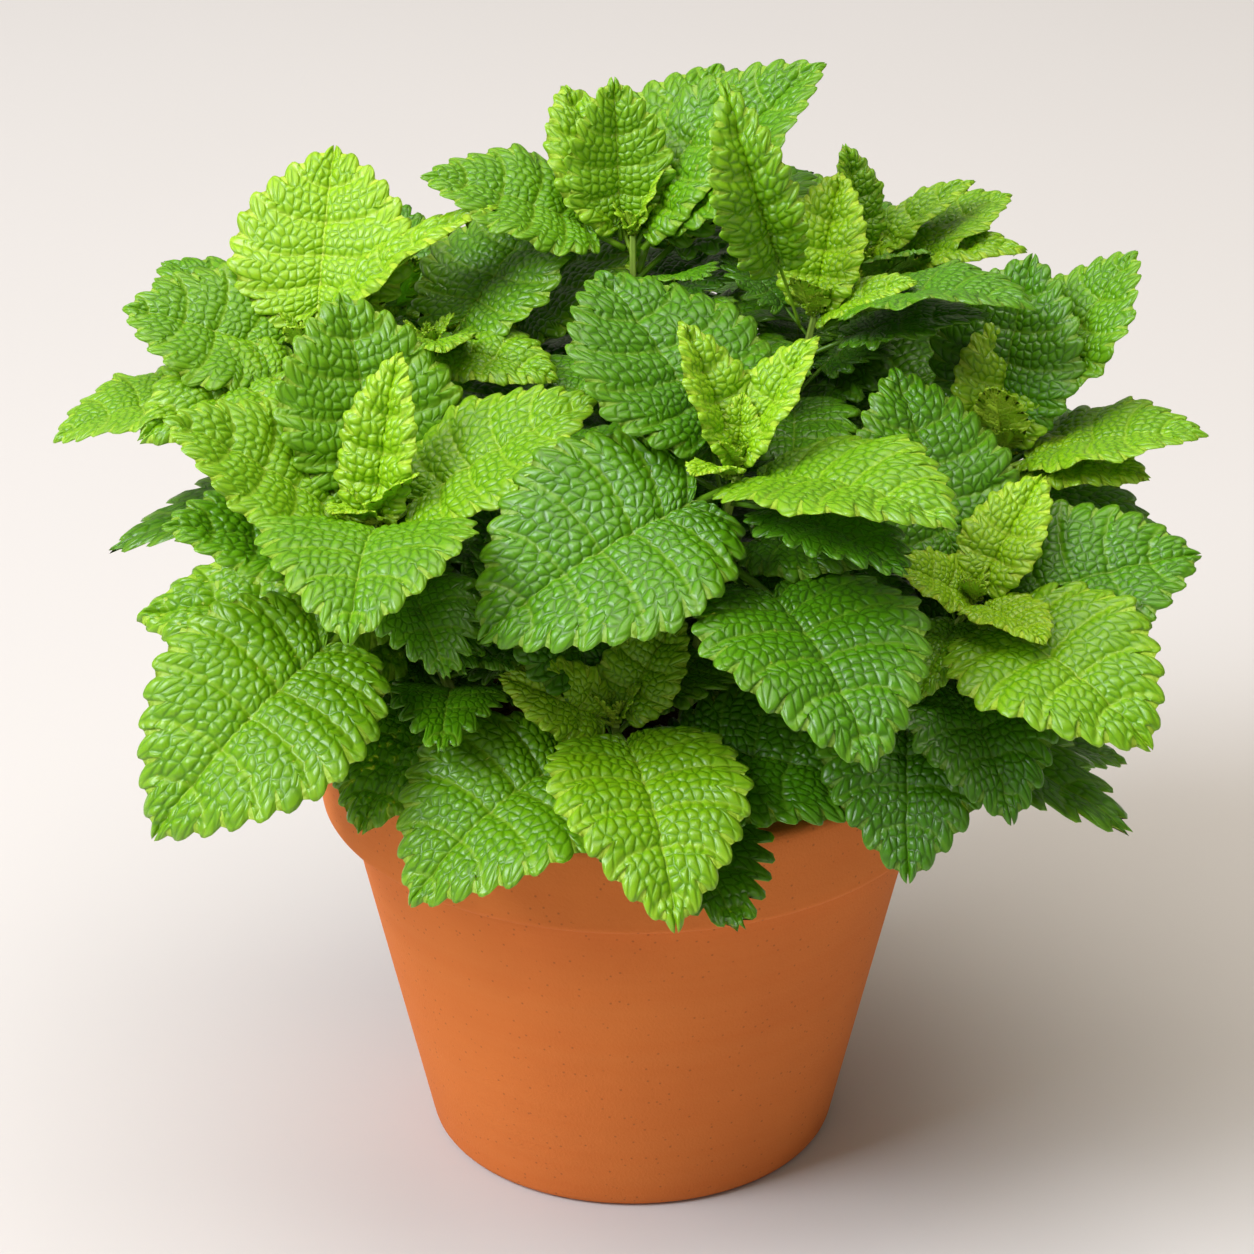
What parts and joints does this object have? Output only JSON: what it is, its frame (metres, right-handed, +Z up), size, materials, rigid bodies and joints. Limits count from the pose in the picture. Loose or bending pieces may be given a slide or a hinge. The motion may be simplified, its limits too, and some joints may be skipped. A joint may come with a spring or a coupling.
{
  "type": "potted lemon balm",
  "caption": "Bushy lemon balm plant with quilted, toothed, heart-shaped leaves on square stems, growing in a plain terracotta pot.",
  "frame": {"origin": "under the middle of the overall box, on the surface that the pot stands on", "axes": "+Z up along the pot's axis, +X to the right and -Y towards a viewer in front"},
  "size_m": [0.259, 0.2426, 0.2563],
  "materials": {
    "terracotta": "matt unglazed fired clay",
    "soil": "moist peaty potting mix, fully matt",
    "stem": "green square stem with a satin sheen",
    "leaf": "satin green leaf, quilted between its veins"
  },
  "bodies": {
    "root": {"terracotta_pot": "terracotta", "potting_soil": "soil", "stem_front_left": "stem", "stem_front": "stem", "stem_centre": "stem", "stem_front_right": "stem", "stem_right": "stem", "stem_upper_right": "stem", "stem_crown": "stem", "stem_left": "stem", "stem_middle_left": "stem", "stem_back_right": "stem", "stem_back": "stem", "stem_back_left": "stem", "leaf_front_left_1": "leaf", "leaf_front_left_2": "leaf", "leaf_front_left_3": "leaf", "leaf_front_left_4": "leaf", "leaf_front_left_5": "leaf", "leaf_front_left_6": "leaf", "leaf_front_1": "leaf", "leaf_front_2": "leaf", "leaf_front_3": "leaf", "leaf_front_4": "leaf", "leaf_centre_1": "leaf", "leaf_centre_2": "leaf", "leaf_centre_3": "leaf", "leaf_centre_4": "leaf", "leaf_front_right_1": "leaf", "leaf_front_right_2": "leaf", "leaf_front_right_3": "leaf", "leaf_front_right_4": "leaf", "leaf_front_right_5": "leaf", "leaf_right_1": "leaf", "leaf_right_2": "leaf", "leaf_right_3": "leaf", "leaf_right_4": "leaf", "leaf_upper_right_1": "leaf", "leaf_upper_right_2": "leaf", "leaf_upper_right_3": "leaf", "leaf_crown_1": "leaf", "leaf_crown_2": "leaf", "leaf_crown_3": "leaf", "leaf_crown_4": "leaf", "leaf_left_1": "leaf", "leaf_left_2": "leaf", "leaf_left_3": "leaf", "leaf_left_4": "leaf", "leaf_middle_left_1": "leaf", "leaf_middle_left_2": "leaf", "leaf_back_right_1": "leaf", "leaf_back_right_2": "leaf", "leaf_back_right_3": "leaf", "leaf_back_right_4": "leaf", "leaf_back_1": "leaf", "leaf_back_2": "leaf", "leaf_back_3": "leaf", "leaf_back_left_1": "leaf", "leaf_back_left_2": "leaf", "leaf_back_left_3": "leaf"}
  },
  "joints": []
}
